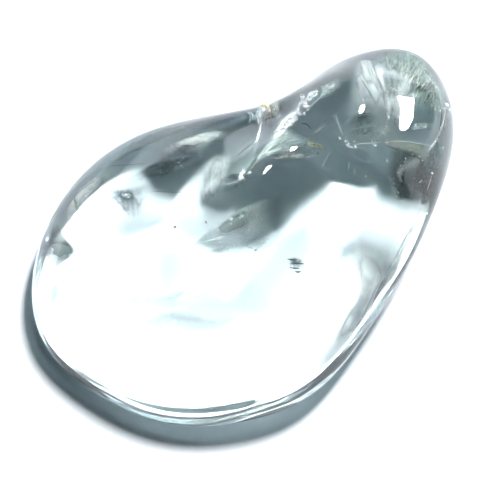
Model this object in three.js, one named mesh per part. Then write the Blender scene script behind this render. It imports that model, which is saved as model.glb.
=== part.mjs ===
// Tumbled stone: one clear, water-worn pebble, pear-shaped from above.
// A broad flat lobe lies at -X and a thicker knob stands at +X. The whole piece is one solid.
// Millimetres, +Z up. The origin is on the ground under the middle of the stone's box.
import * as THREE from 'three';

// The outline seen from above, evenly spaced from the knob's tip along the -Y side.
const OUTLINE = [
  [13.2, 3.9], [13.0, -0.5], [10.0, -3.7], [6.1, -6.2], [1.9, -8.1], [-2.6, -9.3],
  [-7.0, -8.3], [-10.7, -5.8], [-13.1, -1.9], [-13.9, 2.5], [-11.7, 6.4], [-7.7, 8.8],
  [-3.2, 9.2], [1.0, 7.8], [4.9, 6.1], [9.1, 6.0],
];
const CENTRE = { x: -1.0, y: 0.6 }; // where the spokes of the surface meet
const LEAST_SLANT = 0.45; // keeps the rounding from growing where a spoke meets the outline at a slant
const LEAST_ROUNDING = 0.8;
// A nick in the outline: its place and half width in outline points, its depth in millimetres.
const NOTCH = { place: 13.86, halfWidth: 0.05, depth: 0.28 };

// The widest line round the stone, and how it climbs towards the knob and the far edge.
const WAIST = { height: 3.18, climbX: 0.125, climbY: 0.028 };

// Swellings, and hollows where the height is negative: height, middle, reach along and across,
// turn in radians, fullness.
const KNOB = { height: 2.27, x: 9.96, y: -0.2, along: 3.14, across: 5.53, turn: 0.98, fullness: 3.7 };
const CROWN = { height: -0.98, x: 10.02, y: 0.78, along: 2.28, across: 3.2, turn: -0.69, fullness: 2 };
const RIDGE = { height: 1.6, x: 0, y: 1.64, along: 3.5, across: 2.3, turn: 0.31, fullness: 2.5 };
const SHOULDER = { height: 1.4, x: 3.75, y: 6.2, along: 4.2, across: 1.0, turn: -0.3, fullness: 2 };
const FURROW = { height: -0.67, x: -3.3, y: 7.6, along: 4.0, across: 1.4, turn: 0.1, fullness: 2 };
const HOLLOW = { height: -0.82, x: 7.3, y: -1.45, along: 5.0, across: 4.0, turn: 0, fullness: 2 };
const FOOT = { height: 0.45, x: 1.8, y: 0.5, along: 2.6, across: 3.2, turn: 0, fullness: 2.5 };

// The upper and the lower side: the height of the rounded rim above or below the waist, how that
// changes along X and Y, the rounding's width and how that changes along Y, its fullness, and a
// broad dome.
const UPPER = {
  rim: 2.53,
  alongX: 0.031,
  alongY: 0.029,
  rounding: 3.2,
  roundingY: 0.04,
  fullness: 2.2,
  dome: 2.38,
  swellings: [KNOB, RIDGE, SHOULDER, FURROW, CROWN],
};
const LOWER = {
  rim: 2.79,
  alongX: 0.08,
  alongY: 0.046,
  rounding: 3.0,
  roundingY: 0,
  fullness: 2.35,
  dome: 0.37,
  swellings: [HOLLOW, FOOT],
};
// The shallow bowl that the lower side is worn down to. It is sunk a little, so that the stone
// stands on a small flat spot.
const UNDERSIDE = { x: -0.6, y: 0.5, radius: 200, sink: 0.06, soften: 0.1 };

// Mesh fineness.
const SPOKES = 96; // evenly spread
const NOTCH_SPOKES = 5; // more of them, across the notch
const FLAT_RINGS = 12; // across the middle of each side
const EDGE_RINGS = 7; // round each side's rim
const FIRST_LOWER_RING = 3; // the lower side starts here, so that its flat spot has few facets

// A closed cubic B-spline whose control points are moved until it passes through the given ones.
function controlPoints(points) {
  const n = points.length;
  let control = points.map(([x, y]) => [x, y]);
  for (let round = 0; round < 6; round += 1) {
    control = control.map((here, i) => {
      const before = control[(i + n - 1) % n];
      const after = control[(i + 1) % n];
      return here.map((value, axis) => {
        const on = (before[axis] + 4 * value + after[axis]) / 6;
        return value + points[i][axis] - on;
      });
    });
  }
  return control;
}

function outlinePoint(control, t) {
  const n = control.length;
  const i = Math.floor(t);
  const f = t - i;
  const weights = [(1 - f) ** 3, 3 * f ** 3 - 6 * f ** 2 + 4, -3 * f ** 3 + 3 * f ** 2 + 3 * f + 1, f ** 3];
  const at = (axis) => weights.reduce((sum, w, k) => sum + w * control[(i + k + n - 1) % n][axis], 0) / 6;
  return new THREE.Vector2(at(0), at(1));
}

// A smooth hump of height 1: round with fullness 2, flatter on top and steeper outside above that.
function hump(x, y, shape) {
  const dx = x - shape.x;
  const dy = y - shape.y;
  const along = (dx * Math.cos(shape.turn) + dy * Math.sin(shape.turn)) / shape.along;
  const across = (-dx * Math.sin(shape.turn) + dy * Math.cos(shape.turn)) / shape.across;
  return Math.exp(-((along ** 2 + across ** 2) ** (shape.fullness / 2)));
}

// How far the surface stands from the waist: inward is 0 at the outline's centre and 1 at the waist.
function depth(side, inward, x, y) {
  const plain = side.rim + side.alongX * x + side.alongY * y + side.dome * (1 - inward ** 2);
  return side.swellings.reduce((sum, shape) => sum + shape.height * hump(x, y, shape), plain);
}

function waistHeight(x, y) {
  return WAIST.height + WAIST.climbX * x + WAIST.climbY * y;
}

// A lower side's height z, eased into the shallow bowl and cut off at the ground.
function settled(x, y, z) {
  const out = Math.hypot(x - UNDERSIDE.x, y - UNDERSIDE.y);
  const bowl = out ** 2 / (2 * UNDERSIDE.radius) - UNDERSIDE.sink;
  return Math.max(0, (z + bowl + Math.hypot(z - bowl, UNDERSIDE.soften)) / 2);
}

// The steps along a spoke from the centre to the waist: [share of the spoke, share of the depth].
function spokeSteps(side, end, length, slant) {
  const plain = side.rounding + side.roundingY * end.y;
  const width = Math.max(plain, LEAST_ROUNDING) / Math.max(slant, LEAST_SLANT);
  const rounding = Math.min(width, 0.9 * length);
  const start = 1 - rounding / length;
  const first = side === LOWER ? FIRST_LOWER_RING : 1;
  const steps = [];
  for (let i = first; i <= FLAT_RINGS; i += 1) steps.push([(start * i) / FLAT_RINGS, 1]);
  for (let i = 1; i <= EDGE_RINGS; i += 1) {
    const a = ((Math.PI / 2) * i) / EDGE_RINGS;
    steps.push([1 - (1 - Math.sin(a) ** (2 / side.fullness)) * (rounding / length), Math.cos(a)]);
  }
  return steps;
}

// Where the spokes meet the outline, in outline points.
function spokePlaces() {
  const even = Array.from({ length: SPOKES }, (_, j) => (j * OUTLINE.length) / SPOKES);
  const across = (j) => NOTCH.halfWidth * ((4 * j) / (NOTCH_SPOKES - 1) - 2);
  const extra = Array.from({ length: NOTCH_SPOKES }, (_, j) => NOTCH.place + across(j));
  return [...even, ...extra].sort((a, b) => a - b);
}

function stoneGeometry() {
  const places = spokePlaces();
  const spokes = places.length;
  const control = controlPoints(OUTLINE);
  const lowerRings = FLAT_RINGS - FIRST_LOWER_RING + 1 + EDGE_RINGS;
  const upperRings = FLAT_RINGS + EDGE_RINGS;
  const centre = new THREE.Vector2(CENTRE.x, CENTRE.y);
  const rows = Array.from({ length: lowerRings + upperRings - 1 }, () => []);
  const surface = (side, inward, share, x, y) => {
    const away = share * depth(side, inward, x, y);
    return side === UPPER ? waistHeight(x, y) + away : settled(x, y, waistHeight(x, y) - away);
  };
  places.forEach((t, j) => {
    const end = outlinePoint(control, t);
    const ahead = outlinePoint(control, t + 0.05);
    const arm = end.clone().sub(centre);
    const course = ahead.sub(end).normalize();
    const slant = Math.abs(arm.x * course.y - arm.y * course.x) / arm.length();
    const nick = NOTCH.depth * Math.exp(-(((t - NOTCH.place) / NOTCH.halfWidth) ** 2));
    arm.setLength(arm.length() - nick);
    for (const side of [LOWER, UPPER]) {
      spokeSteps(side, end, arm.length(), slant).forEach(([inward, share], i) => {
        const x = centre.x + arm.x * inward;
        const y = centre.y + arm.y * inward;
        const row = side === LOWER ? i : rows.length - 1 - i;
        rows[row][j] = [x, y, surface(side, inward, share, x, y)];
      });
    }
  });
  const vertices = [[centre.x, centre.y, surface(LOWER, 0, 1, centre.x, centre.y)], ...rows.flat()];
  vertices.push([centre.x, centre.y, surface(UPPER, 0, 1, centre.x, centre.y)]);
  const last = vertices.length - 1;
  const faces = [];
  for (let j = 0; j < spokes; j += 1) {
    const k = (j + 1) % spokes;
    faces.push([0, 1 + j, 1 + k]);
    for (let r = 0; r < rows.length - 1; r += 1) {
      const a = 1 + r * spokes;
      const b = a + spokes;
      faces.push([a + j, b + k, a + k], [a + j, b + j, b + k]);
    }
    const top = 1 + (rows.length - 1) * spokes;
    faces.push([top + j, last, top + k]);
  }
  const geometry = new THREE.BufferGeometry();
  geometry.setAttribute('position', new THREE.Float32BufferAttribute(vertices.flat(), 3));
  geometry.setIndex(faces.flat());
  geometry.computeBoundingBox();
  const middle = geometry.boundingBox.getCenter(new THREE.Vector3());
  geometry.translate(-middle.x, -middle.y, -geometry.boundingBox.min.z);
  geometry.computeVertexNormals();
  return geometry;
}

const clearStone = new THREE.MeshStandardMaterial({ color: 0xdfeef0, roughness: 0.05, metalness: 0 });

const stone = new THREE.Mesh(stoneGeometry(), clearStone);
stone.name = 'tumbled_stone';

const group = new THREE.Group();
group.add(stone);

export default group;
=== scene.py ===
"""Tumbled stone, dressed.

One clear, water-worn pebble with cracks and veils inside, lying on a plain pale floor under one light.
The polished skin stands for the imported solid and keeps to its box. Sizes are in millimetres until a mesh
is made.
"""

import logging
import math
from dataclasses import dataclass, field
from enum import Enum

import bpy
import numpy as np
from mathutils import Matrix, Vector


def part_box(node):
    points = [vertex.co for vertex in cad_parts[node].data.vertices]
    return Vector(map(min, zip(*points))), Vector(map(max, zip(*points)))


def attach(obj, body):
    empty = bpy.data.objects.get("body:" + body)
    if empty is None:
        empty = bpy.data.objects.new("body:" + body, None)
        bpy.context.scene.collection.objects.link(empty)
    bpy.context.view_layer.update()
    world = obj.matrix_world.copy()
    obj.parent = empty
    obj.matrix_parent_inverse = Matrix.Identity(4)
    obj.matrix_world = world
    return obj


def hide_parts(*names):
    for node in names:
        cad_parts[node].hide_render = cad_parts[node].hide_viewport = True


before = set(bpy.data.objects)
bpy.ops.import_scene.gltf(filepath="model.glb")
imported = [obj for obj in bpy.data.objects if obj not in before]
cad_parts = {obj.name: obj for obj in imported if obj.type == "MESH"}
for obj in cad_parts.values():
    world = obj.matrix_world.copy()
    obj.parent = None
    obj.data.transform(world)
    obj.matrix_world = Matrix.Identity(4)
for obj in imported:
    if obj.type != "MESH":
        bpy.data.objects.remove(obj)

MM = 0.001
STONE_NODE = "tumbled_stone"
BODY = "root"

Spot = tuple[float, float, float]  # plan x, plan y and depth below the skin, in millimetres
Colour = tuple[float, float, float]
Faces = list[tuple[int, ...]]

TINY = 1e-9  # keeps a division off zero
BUMP_HEIGHT = 0.1  # a veil's relief, in millimetres
MOTTLE_SIZE = 0.3  # the size of the mottling on loose grains, in millimetres
BLUNTNESS = 0.6  # how a splinter swells from its pointed ends: 1 is slowly, 0 is at once

log = logging.getLogger("tumbled_stone")


class Face(Enum):
    """Which side of the waist line a stretch of the skin is on."""

    UPPER = 1
    LOWER = -1


@dataclass(frozen=True)
class Hump:
    """A smooth swelling, or a hollow if its height is negative, in millimetres and radians."""

    height: float
    x: float
    y: float
    along: float
    across: float
    turn: float = 0.0
    fullness: float = 2.0

    def rise(self, x: np.ndarray, y: np.ndarray) -> np.ndarray:
        """Returns what the hump adds at plan positions x, y."""
        dx, dy = x - self.x, y - self.y
        along = (dx * math.cos(self.turn) + dy * math.sin(self.turn)) / self.along
        across = (-dx * math.sin(self.turn) + dy * math.cos(self.turn)) / self.across
        return self.height * np.exp(-((along**2 + across**2) ** (self.fullness / 2)))


@dataclass(frozen=True)
class Notch:
    """A nick in the outline: its place and half width in outline points, its depth in millimetres."""

    place: float
    half_width: float
    depth: float


@dataclass(frozen=True)
class Underside:
    """The shallow bowl that the lower side is worn down to, sunk a little so that it ends in a flat spot."""

    x: float
    y: float
    radius: float
    sink: float
    soften: float

    def settle(self, x: np.ndarray, y: np.ndarray, z: np.ndarray) -> np.ndarray:
        """Returns heights z at plan positions x, y, eased into the bowl, none below the ground."""
        bowl = ((x - self.x) ** 2 + (y - self.y) ** 2) / (2 * self.radius) - self.sink
        return np.maximum((z + bowl + np.hypot(z - bowl, self.soften)) / 2, 0.0)


@dataclass(frozen=True)
class Side:
    """The upper or the lower side of the stone, measured from the waist."""

    rim: float
    along_x: float
    along_y: float
    rounding: float
    fullness: float
    dome: float
    humps: tuple[Hump, ...] = ()
    rounding_y: float = 0.0

    def depth(self, inward: np.ndarray, x: np.ndarray, y: np.ndarray) -> np.ndarray:
        """How far the full side stands from the waist.

        Args:
            inward: 0 at the centre of the outline and 1 on it.
            x: Plan position along the stone.
            y: Plan position across the stone.

        Returns:
            Distances from the waist, in millimetres.
        """
        total = self.rim + self.along_x * x + self.along_y * y + self.dome * (1 - inward**2)
        for hump in self.humps:
            total = total + hump.rise(x, y)
        return total


@dataclass(frozen=True)
class StoneForm:
    """The stone's skin as a formula: spokes from a centre to the waist, rounded off above and below it."""

    outline: tuple[tuple[float, float], ...] = (
        (13.2, 3.9), (13.0, -0.5), (10.0, -3.7), (6.1, -6.2), (1.9, -8.1), (-2.6, -9.3),
        (-7.0, -8.3), (-10.7, -5.8), (-13.1, -1.9), (-13.9, 2.5), (-11.7, 6.4), (-7.7, 8.8),
        (-3.2, 9.2), (1.0, 7.8), (4.9, 6.1), (9.1, 6.0),
    )
    centre: tuple[float, float] = (-1.0, 0.6)
    waist: float = 3.18
    climb_x: float = 0.125
    climb_y: float = 0.028
    notches: tuple[Notch, ...] = (Notch(13.86, 0.05, 0.28),)
    upper: Side = Side(2.53, 0.031, 0.029, 3.2, 2.2, 2.38, (
        Hump(2.27, 9.96, -0.2, 3.14, 5.53, 0.98, 3.7),
        Hump(1.6, 0.0, 1.64, 3.5, 2.3, 0.31, 2.5),
        Hump(1.4, 3.75, 6.2, 4.2, 1.0, -0.3, 2.0),
        Hump(-0.67, -3.3, 7.6, 4.0, 1.4, 0.1, 2.0),
        Hump(-0.98, 10.02, 0.78, 2.28, 3.2, -0.69, 2.0),
    ), 0.04)
    lower: Side = Side(2.79, 0.08, 0.046, 3.0, 2.35, 0.37, (
        Hump(-0.82, 7.3, -1.45, 5.0, 4.0, 0.0, 2.0),
        Hump(0.45, 1.8, 0.5, 2.6, 3.2, 0.0, 2.5),
    ))
    underside: Underside = Underside(-0.6, 0.5, 200.0, 0.06, 0.1)
    least_slant: float = 0.45
    least_rounding: float = 0.8
    most_rounding: float = 0.9
    settling_rounds: int = 6
    spokes: int = 480
    flat_rings: int = 60
    edge_rings: int = 30
    fine_spokes: int = 1440
    notch_spokes: int = 13

    def places(self, count: int) -> np.ndarray:
        """Returns places along the outline, in its points: count even ones and more at each notch."""
        t = np.linspace(0, len(self.outline), count, endpoint=False)
        extra = [n.place + n.half_width * np.linspace(-2, 2, self.notch_spokes) for n in self.notches]
        return np.unique(np.concatenate([t, *extra]) % len(self.outline))

    def waist_line(self, t: np.ndarray) -> np.ndarray:
        """Returns points of the smooth closed outline, in plan, at places along it."""
        points = np.array(self.outline)
        control = points.copy()
        for _ in range(self.settling_rounds):
            on = (np.roll(control, 1, 0) + 4 * control + np.roll(control, -1, 0)) / 6
            control += points - on
        i = t.astype(int)
        f = (t - i)[:, None]
        weights = ((1 - f) ** 3, 3 * f**3 - 6 * f**2 + 4, -3 * f**3 + 3 * f**2 + 3 * f + 1, f**3)
        return sum(w * control[(i + k - 1) % len(points)] for k, w in enumerate(weights)) / 6

    def arms(self, t: np.ndarray) -> tuple[np.ndarray, np.ndarray, np.ndarray, np.ndarray]:
        """The spokes from the centre to the waist line, shortened at the notches.

        Args:
            t: Places along the outline.

        Returns:
            The smooth outline's points, the spokes, their lengths, and the sines of their angles with it.
        """
        line = self.waist_line(t)
        arm = line - np.array(self.centre)
        length = np.linalg.norm(arm, axis=1)
        course = np.roll(line, -1, 0) - np.roll(line, 1, 0)
        course /= np.linalg.norm(course, axis=1)[:, None]
        slant = np.abs(arm[:, 0] * course[:, 1] - arm[:, 1] * course[:, 0]) / length
        nick = sum(n.depth * np.exp(-(((t - n.place) / n.half_width) ** 2)) for n in self.notches)
        return line, arm * (1 - nick / length)[:, None], length - nick, slant

    def side(self, face: Face) -> Side:
        """Returns the side that a face of the skin belongs to."""
        return self.upper if face is Face.UPPER else self.lower

    def height(
        self, face: Face, inward: np.ndarray, share: np.ndarray, x: np.ndarray, y: np.ndarray,
    ) -> np.ndarray:
        """The skin's height above the ground.

        Args:
            face: The upper or the lower side.
            inward: 0 at the centre of the outline and 1 on it.
            share: The share of the side's full depth, which falls to 0 at the waist.
            x: Plan position along the stone.
            y: Plan position across the stone.

        Returns:
            Heights in millimetres.
        """
        waist = self.waist + self.climb_x * x + self.climb_y * y
        z = waist + face.value * share * self.side(face).depth(inward, x, y)
        return z if face is Face.UPPER else self.underside.settle(x, y, z)

    def rounding(self, face: Face, line: np.ndarray, length: np.ndarray, slant: np.ndarray) -> np.ndarray:
        """Returns the rounding's width as a share of each spoke, for spokes that end on the given line."""
        side = self.side(face)
        width = side.rounding + side.rounding_y * line[..., 1]
        width = np.maximum(width, self.least_rounding) / np.maximum(slant, self.least_slant)
        return np.minimum(width / length, self.most_rounding)

    def top_at(self, x: np.ndarray, y: np.ndarray) -> np.ndarray:
        """Returns the upper skin's height at plan positions x, y."""
        line, arm, length, slant = self.arms(self.places(self.fine_spokes))
        bearing = np.arctan2(arm[:, 1], arm[:, 0])
        order = np.argsort(bearing)
        dx, dy = x - self.centre[0], y - self.centre[1]
        here = np.arctan2(dy, dx)

        def read(values: np.ndarray) -> np.ndarray:
            """Returns values given for the fine spokes at the wanted bearings."""
            return np.interp(here, bearing[order], values[order], period=2 * math.pi)

        reach = read(length)
        inward = np.minimum(np.hypot(dx, dy) / reach, 1.0)
        end = np.stack([read(line[:, 0]), read(line[:, 1])], axis=-1)
        edge = np.clip(1 - (1 - inward) / self.rounding(Face.UPPER, end, reach, read(slant)), 0, 1)
        share = np.sqrt(np.maximum(1 - edge**self.upper.fullness, 0))
        return self.height(Face.UPPER, inward, share, x, y)

    def skin(self) -> tuple[np.ndarray, Faces]:
        """Returns the vertices and faces of the whole closed skin, in millimetres."""
        centre = np.array(self.centre)
        line, arm, length, slant = self.arms(self.places(self.spokes))
        rows = []
        for face in (Face.LOWER, Face.UPPER):
            rounding = self.rounding(face, line, length, slant)
            rings = [((1 - rounding) * i / self.flat_rings, 1.0) for i in range(1, self.flat_rings + 1)]
            for i in range(1, self.edge_rings + 1):
                a = math.pi / 2 * i / self.edge_rings
                edge = math.sin(a) ** (2 / self.side(face).fullness)
                rings.append((1 - (1 - edge) * rounding, math.cos(a)))
            if face is Face.UPPER:
                rings = rings[-2::-1]
            for inward, share in rings:
                plan = centre + arm * inward[:, None]
                rows.append(np.column_stack([plan, self.height(face, inward, share, plan[:, 0], plan[:, 1])]))
        poles = [[*centre, float(self.height(face, 0.0, 1.0, *centre))] for face in (Face.LOWER, Face.UPPER)]
        vertices = np.vstack([poles[:1], *rows, poles[1:]])
        return vertices, self.skin_faces(len(line), len(rows))

    @staticmethod
    def skin_faces(n: int, rows: int) -> Faces:
        """Returns the skin's faces, pointing out, for n spokes and a number of rows."""
        last = n * rows + 1
        faces: Faces = []
        for j in range(n):
            k = (j + 1) % n
            faces.append((0, 1 + j, 1 + k))
            for r in range(rows - 1):
                a, b = 1 + r * n, 1 + (r + 1) * n
                faces.append((a + j, b + j, b + k, a + k))
            top = 1 + (rows - 1) * n
            faces.append((last, top + k, top + j))
        return faces


class Frame:
    """Carries the form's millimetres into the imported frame's metres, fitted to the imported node's box."""

    def __init__(self, form: StoneForm) -> None:
        """Fits the skin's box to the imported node's.

        Args:
            form: The stone's form.
        """
        self.form = form
        self.vertices, self.faces = form.skin()
        low, high = (np.array(corner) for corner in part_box(STONE_NODE))
        self.low = low
        self.own_low = self.vertices.min(axis=0)
        self.scale = (high - low) / (self.vertices.max(axis=0) - self.own_low)

    def place(self, points: np.ndarray) -> np.ndarray:
        """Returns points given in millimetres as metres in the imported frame."""
        return self.low + (np.asarray(points) - self.own_low) * self.scale

    def below_skin(self, spots: np.ndarray) -> np.ndarray:
        """Returns spots (plan x, plan y, depth below the upper skin) as points in millimetres."""
        spots = np.asarray(spots, dtype=float)
        z = self.form.top_at(spots[..., 0], spots[..., 1]) - spots[..., 2]
        return np.concatenate([spots[..., :2], z[..., None]], axis=-1)


@dataclass
class Pieces:
    """Vertices, faces and face-corner map positions that are gathered into one mesh."""

    points: list[np.ndarray] = field(default_factory=list)
    faces: Faces = field(default_factory=list)
    places: list[np.ndarray] = field(default_factory=list)
    count: int = 0

    def add(self, points: np.ndarray, faces: Faces, places: np.ndarray | None = None) -> None:
        """Adds one closed form.

        Args:
            points: Its vertices, in millimetres.
            faces: Its faces.
            places: Each vertex's position on the map, 0 to 1 both ways, or None for the map's middle.
        """
        self.points.append(points)
        self.faces += [tuple(i + self.count for i in face) for face in faces]
        self.places.append(np.full((len(points), 2), 0.5) if places is None else places)
        self.count += len(points)

    def make(
        self, name: str, place: Frame, finish: bpy.types.Material, smooth: bool = True,
    ) -> bpy.types.Object:
        """Makes the mesh and lets it ride on the stone.

        Args:
            name: The piece's name.
            place: The frame that it is placed by.
            finish: Its material.
            smooth: Whether its shading is smooth.

        Returns:
            The new piece.
        """
        piece = new_mesh(name, place.place(np.vstack(self.points)), self.faces, smooth)
        corners = np.empty(len(piece.data.loops), dtype=np.int32)
        piece.data.loops.foreach_get("vertex_index", corners)
        layer = piece.data.uv_layers.new(name="UVMap")
        layer.data.foreach_set("uv", np.vstack(self.places)[corners].ravel().astype(np.float32))
        piece.data.materials.append(finish)
        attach(piece, BODY)
        log.info("%s: %d faces", name, len(self.faces))
        return piece


def new_mesh(name: str, points: np.ndarray, faces: Faces, smooth: bool = True) -> bpy.types.Object:
    """Makes a mesh object at the origin.

    Args:
        name: The piece's name.
        points: Vertices in metres.
        faces: Vertex indices of each face.
        smooth: Whether its shading is smooth.

    Returns:
        The new object, linked to the scene.
    """
    mesh = bpy.data.meshes.new(name)
    mesh.from_pydata(np.asarray(points).tolist(), [], faces)
    mesh.update()
    mesh.polygons.foreach_set("use_smooth", [smooth] * len(mesh.polygons))
    piece = bpy.data.objects.new(name, mesh)
    bpy.context.scene.collection.objects.link(piece)
    return piece


def level(depth: float, *plan: tuple[float, float]) -> tuple[Spot, ...]:
    """Returns a line of spots that all lie at one depth below the skin, from their plan positions."""
    return tuple((x, y, depth) for x, y in plan)


def ease(
    f: np.ndarray, start: np.ndarray, end: np.ndarray, leaving: np.ndarray, reaching: np.ndarray,
) -> np.ndarray:
    """Joins two spots by a cubic with given slopes.

    Args:
        f: How far along the join each wanted spot is, 0 to 1.
        start: The spots that the join leaves from.
        end: The spots that it reaches.
        leaving: Its slopes at the start.
        reaching: Its slopes at the end.

    Returns:
        The wanted spots.
    """
    return (
        (2 * f**3 - 3 * f**2 + 1) * start + (f**3 - 2 * f**2 + f) * leaving
        + (-2 * f**3 + 3 * f**2) * end + (f**3 - f**2) * reaching
    )


def smooth_line(spots: tuple[Spot, ...], count: int) -> np.ndarray:
    """Draws a smooth curve through a few spots.

    Args:
        spots: The spots, in order.
        count: How many points to return.

    Returns:
        Points spread evenly along the curve, one row each.
    """
    knots = np.array(spots, dtype=float)
    if len(knots) == 2:
        knots = np.array([knots[0], (knots[0] + knots[1]) / 2, knots[1]])
    lengths = np.r_[0, np.cumsum(np.linalg.norm(np.diff(knots[:, :2], axis=0), axis=1))]
    t = np.linspace(0, lengths[-1], count)
    i = np.clip(np.searchsorted(lengths, t, side="right") - 1, 0, len(knots) - 2)
    span = (lengths[i + 1] - lengths[i])[:, None]
    slopes = np.gradient(knots, lengths, axis=0)
    f = (t - lengths[i])[:, None] / span
    return ease(f, knots[i], knots[i + 1], span * slopes[i], span * slopes[i + 1])


def smooth_sheet(lines: tuple[tuple[Spot, ...], ...], columns: int, reach: np.ndarray) -> np.ndarray:
    """Draws a smooth sheet through a few lines of spots.

    Args:
        lines: The lines, from the sheet's mouth to its root.
        columns: How many points to lay along each line.
        reach: How far from the mouth (0) to the root (1) each wanted point is, in rows of columns.

    Returns:
        One spot for each value of reach.
    """
    knots = np.array([smooth_line(line, columns) for line in lines])
    slopes = np.gradient(knots, axis=0)
    place = reach * (len(knots) - 1)
    i = np.clip(place.astype(int), 0, len(knots) - 2)
    c = np.broadcast_to(np.arange(columns), reach.shape)
    return ease((place - i)[..., None], knots[i, c], knots[i + 1, c], slopes[i, c], slopes[i + 1, c])


def wander(rng: np.random.Generator, count: int, waves: int = 5) -> np.ndarray:
    """Returns count smoothly wandering values between 0 and 1."""
    t = np.linspace(0, 2 * math.pi, count)
    slowest, fastest = 0.7, 1.3
    total = sum(
        math.sqrt(1 / k) * np.sin(k * t * rng.uniform(slowest, fastest) + rng.uniform(0, 2 * math.pi))
        for k in range(1, waves + 1)
    )
    return (total - total.min()) / max(float(np.ptp(total)), TINY)


class Shading:
    """Adds and joins nodes in one shader tree."""

    def __init__(self, tree: bpy.types.NodeTree) -> None:
        """Keeps the tree that nodes are added to."""
        self.tree = tree

    def add(self, kind: str, **settings: object) -> bpy.types.Node:
        """Adds a node of a kind, such as Math, with its settings."""
        node = self.tree.nodes.new("ShaderNode" + kind)
        for name, value in settings.items():
            setattr(node, name, value)
        return node

    def feed(self, socket: bpy.types.NodeSocket, value: object) -> None:
        """Joins an input to another node's output, or sets it to a plain value."""
        if isinstance(value, bpy.types.NodeSocket):
            self.tree.links.new(value, socket)
        else:
            socket.default_value = value

    def math(self, operation: str, *values: object, clamp: bool = False) -> bpy.types.NodeSocket:
        """Returns the result of a Math node fed with values or outputs."""
        node = self.add("Math", operation=operation, use_clamp=clamp)
        for socket, value in zip(node.inputs, values):
            self.feed(socket, value)
        return node.outputs[0]

    def noise(self, where: bpy.types.NodeSocket, scale: object, detail: float) -> bpy.types.NodeSocket:
        """Returns soft noise, 0 to 1, at a position."""
        node = self.add("TexNoise")
        self.feed(node.inputs["Vector"], where)
        self.feed(node.inputs["Scale"], scale)
        node.inputs["Detail"].default_value = detail
        return node.outputs["Fac"]

    def spread(self, value: object, low: object, high: object) -> bpy.types.NodeSocket:
        """Returns a value stretched so that low becomes 0 and high becomes 1, with soft ends."""
        node = self.add("MapRange", interpolation_type="SMOOTHSTEP")
        self.feed(node.inputs["Value"], value)
        self.feed(node.inputs["From Min"], low)
        self.feed(node.inputs["From Max"], high)
        return node.outputs["Result"]

    def ramp(self, share: bpy.types.NodeSocket, colours: tuple[Colour, ...]) -> bpy.types.NodeSocket:
        """Returns the colour at a share of the way through some colours."""
        node = self.add("ValToRGB")
        elements = node.color_ramp.elements
        while len(elements) < len(colours):
            elements.new(0.5)
        for i, colour in enumerate(colours):
            elements[i].position = i / (len(colours) - 1)
            elements[i].color = (*colour, 1)
        self.feed(node.inputs["Fac"], share)
        return node.outputs["Color"]

    def group(self, tree: bpy.types.NodeTree, **values: object) -> bpy.types.Node:
        """Places a node group and feeds its inputs by name, with _ for a space."""
        node = self.add("Group", node_tree=tree)
        for name, value in values.items():
            self.feed(node.inputs[name.replace("_", " ")], value)
        return node


def new_group(name: str, inputs: tuple[str, ...], outputs: tuple[str, ...]) -> tuple[Shading, dict, dict]:
    """Starts a shader node group of plain numbers.

    Args:
        name: The group's name.
        inputs: Names of its inputs.
        outputs: Names of its outputs.

    Returns:
        The group's shading, its inputs by name, and its output sockets by name.
    """
    tree = bpy.data.node_groups.new(name, "ShaderNodeTree")
    for way, names in (("INPUT", inputs), ("OUTPUT", outputs)):
        for socket in names:
            tree.interface.new_socket(socket, in_out=way, socket_type="NodeSocketFloat")
    start = tree.nodes.new("NodeGroupInput")
    end = tree.nodes.new("NodeGroupOutput")
    shading = Shading(tree)
    return shading, {n: start.outputs[n] for n in inputs}, {n: end.inputs[n] for n in outputs}


def stone_grain() -> bpy.types.NodeTree:
    """Returns the group that gives the cloudiness and the fine grain of broken stone, in millimetres."""
    name = "stone_grain"
    if name in bpy.data.node_groups:
        return bpy.data.node_groups[name]
    shading, given, out = new_group(name, ("Size", "Seed"), ("Cloud", "Grain"))
    where = shading.add("TexCoord").outputs["Object"]
    scaled = shading.add("VectorMath", operation="SCALE")
    shading.feed(scaled.inputs[0], where)
    shading.feed(scaled.inputs["Scale"], shading.math("DIVIDE", 1 / MM, given["Size"]))
    moved = shading.add("VectorMath", operation="ADD")
    shading.feed(moved.inputs[0], scaled.outputs[0])
    offset = shading.add("CombineXYZ")
    shading.feed(offset.inputs["X"], given["Seed"])
    shading.feed(moved.inputs[1], offset.outputs[0])
    place = moved.outputs[0]
    fineness = 6.0  # the grain against the clouds
    cloud = shading.noise(place, 1.0, detail=3.0)
    shading.feed(out["Cloud"], shading.spread(cloud, low=0.3, high=0.7))
    grain = shading.noise(place, fineness, detail=4.0)
    shading.feed(out["Grain"], shading.spread(grain, low=0.35, high=0.65))
    return shading.tree


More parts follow.
